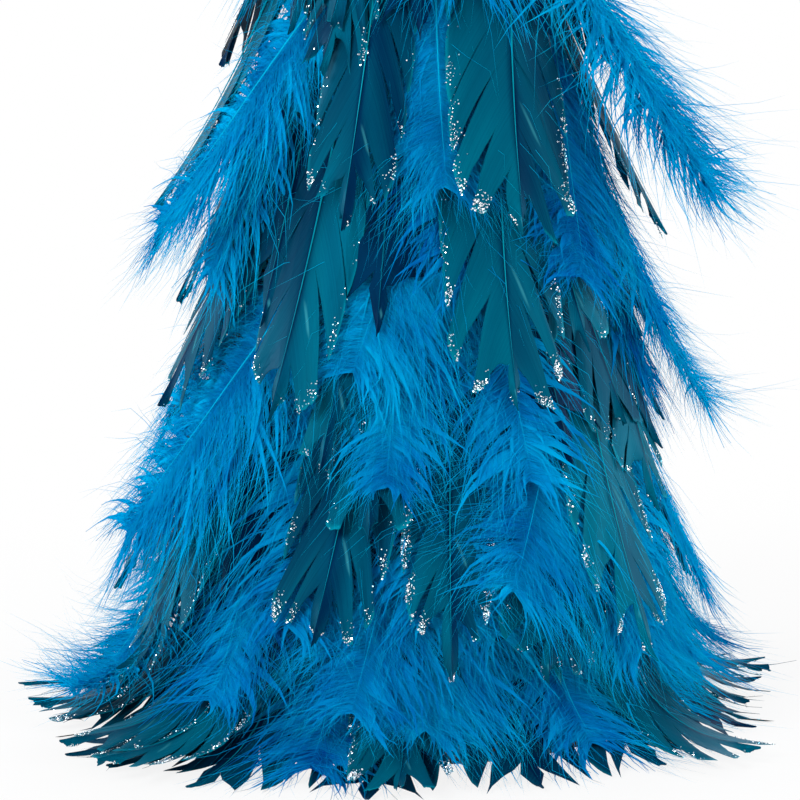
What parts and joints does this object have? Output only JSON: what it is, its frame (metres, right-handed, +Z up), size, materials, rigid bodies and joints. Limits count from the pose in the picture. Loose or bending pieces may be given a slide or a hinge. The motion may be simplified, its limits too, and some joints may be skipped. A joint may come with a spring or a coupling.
{
  "type": "feather christmas tree",
  "caption": "Tabletop cone tree: a hollow paper cone on a round board, clad from floor to tip in overlapping blue plumes and stiff teal feathers with glitter edges.",
  "frame": {"origin": "centre of the board's underside, on the surface that the tree stands on", "axes": "+Z up along the cone's axis; -Y is the front that faces the viewer; +X to the viewer's right"},
  "size_m": [0.2254, 0.2236, 0.4406],
  "materials": {
    "kraft_paper": "matte brown kraft paper board",
    "binding_thread": "dark cotton thread",
    "blue_plume": "dyed soft plume, fluffy barbs",
    "teal_vane": "dyed stiff vane, satin, silver glitter at the edges",
    "mixed_fringe": "plumes and stiff vanes by turns on one tape"
  },
  "bodies": {
    "root": {"base_board": "kraft_paper", "cone_shell": "kraft_paper", "fringe_1": "mixed_fringe", "fringe_2": "mixed_fringe", "fringe_3": "mixed_fringe", "fringe_4": "mixed_fringe", "fringe_5": "mixed_fringe", "fringe_6": "mixed_fringe", "fringe_7": "mixed_fringe", "fringe_8": "mixed_fringe", "plume_01": "blue_plume", "plume_02": "blue_plume", "plume_03": "blue_plume", "plume_04": "blue_plume", "plume_05": "blue_plume", "plume_06": "blue_plume", "plume_07": "blue_plume", "plume_08": "blue_plume", "plume_09": "blue_plume", "plume_10": "blue_plume", "plume_11": "blue_plume", "plume_12": "blue_plume", "plume_13": "blue_plume", "plume_14": "blue_plume", "plume_15": "blue_plume", "plume_16": "blue_plume", "plume_17": "blue_plume", "plume_18": "blue_plume", "plume_19": "blue_plume", "vane_01": "teal_vane", "vane_02": "teal_vane", "vane_03": "teal_vane", "vane_04": "teal_vane", "vane_05": "teal_vane", "vane_06": "teal_vane", "vane_07": "teal_vane", "vane_08": "teal_vane", "vane_09": "teal_vane", "vane_10": "teal_vane", "vane_11": "teal_vane", "vane_12": "teal_vane", "vane_13": "teal_vane", "vane_14": "teal_vane", "vane_15": "teal_vane", "vane_16": "teal_vane", "vane_17": "teal_vane", "vane_18": "teal_vane", "vane_19": "teal_vane", "vane_20": "teal_vane", "vane_21": "teal_vane", "vane_22": "teal_vane", "vane_23": "teal_vane", "vane_24": "teal_vane", "vane_25": "teal_vane", "tuft_binding": "binding_thread", "tuft_feather_1": "blue_plume", "tuft_feather_2": "teal_vane", "tuft_feather_3": "blue_plume", "tuft_feather_4": "teal_vane", "tuft_feather_5": "blue_plume"}
  },
  "joints": []
}
